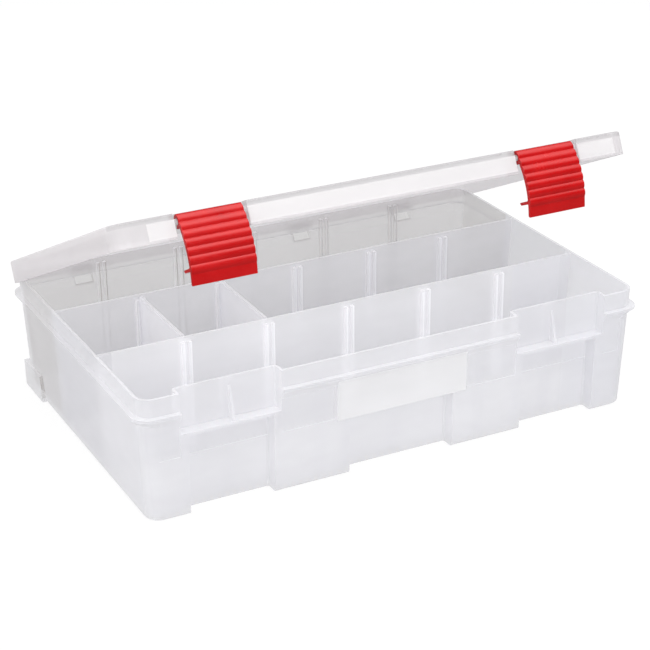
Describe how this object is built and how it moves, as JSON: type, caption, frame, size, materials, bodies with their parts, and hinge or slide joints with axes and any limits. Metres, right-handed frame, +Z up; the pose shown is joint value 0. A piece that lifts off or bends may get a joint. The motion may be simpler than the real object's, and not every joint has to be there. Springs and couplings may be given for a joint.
{
  "type": "fishing tackle box",
  "caption": "Clear plastic tackle box with long rows split by lift-out cross dividers, a hinged lid standing part open and red snap latches that hook under shelves in the front wall.",
  "frame": {"origin": "centre of the tray's footprint, on the surface it rests on", "axes": "+X to the right along the length, -Y towards the latches at the front, +Z up"},
  "size_m": [0.3566, 0.2356, 0.1842],
  "materials": {
    "frosted_clear_polypropylene": "clear moulding with a light frosting on the walls, smooth inside",
    "lid_clear_polypropylene": "clear and glossy, with a lightly frosted panel",
    "divider_clear_polypropylene": "clear and smooth",
    "red_latch_plastic": "glossy opaque red"
  },
  "bodies": {
    "tray": {"base_tray": "frosted_clear_polypropylene"},
    "lid_body": {"lid": "lid_clear_polypropylene"},
    "latch_left_body": {"latch_left": "red_latch_plastic"},
    "latch_right_body": {"latch_right": "red_latch_plastic"},
    "divider_1_body": {"divider_1": "divider_clear_polypropylene"},
    "divider_2_body": {"divider_2": "divider_clear_polypropylene"}
  },
  "joints": [
    {"name": "lid_hinge", "type": "hinge", "parent": "tray", "child": "lid_body", "pos_m": [0, 0.1178, 0.073], "axis": [-1, 0, 0], "range_deg": [-25.5, 154.5]},
    {"name": "latch_left_hinge", "type": "hinge", "parent": "lid_body", "child": "latch_left_body", "pos_m": [-0.1155, -0.08392, 0.1783], "axis": [-1, 0, 0], "range_deg": [-3, 112]},
    {"name": "latch_right_hinge", "type": "hinge", "parent": "lid_body", "child": "latch_right_body", "pos_m": [0.1155, -0.08392, 0.1783], "axis": [-1, 0, 0], "range_deg": [0, 115]},
    {"name": "divider_1_lift", "type": "slide", "parent": "tray", "child": "divider_1_body", "axis": [0, 0, 1], "range_m": [0, 0.036]},
    {"name": "divider_2_lift", "type": "slide", "parent": "tray", "child": "divider_2_body", "axis": [0, 0, 1], "range_m": [0, 0.036]}
  ]
}
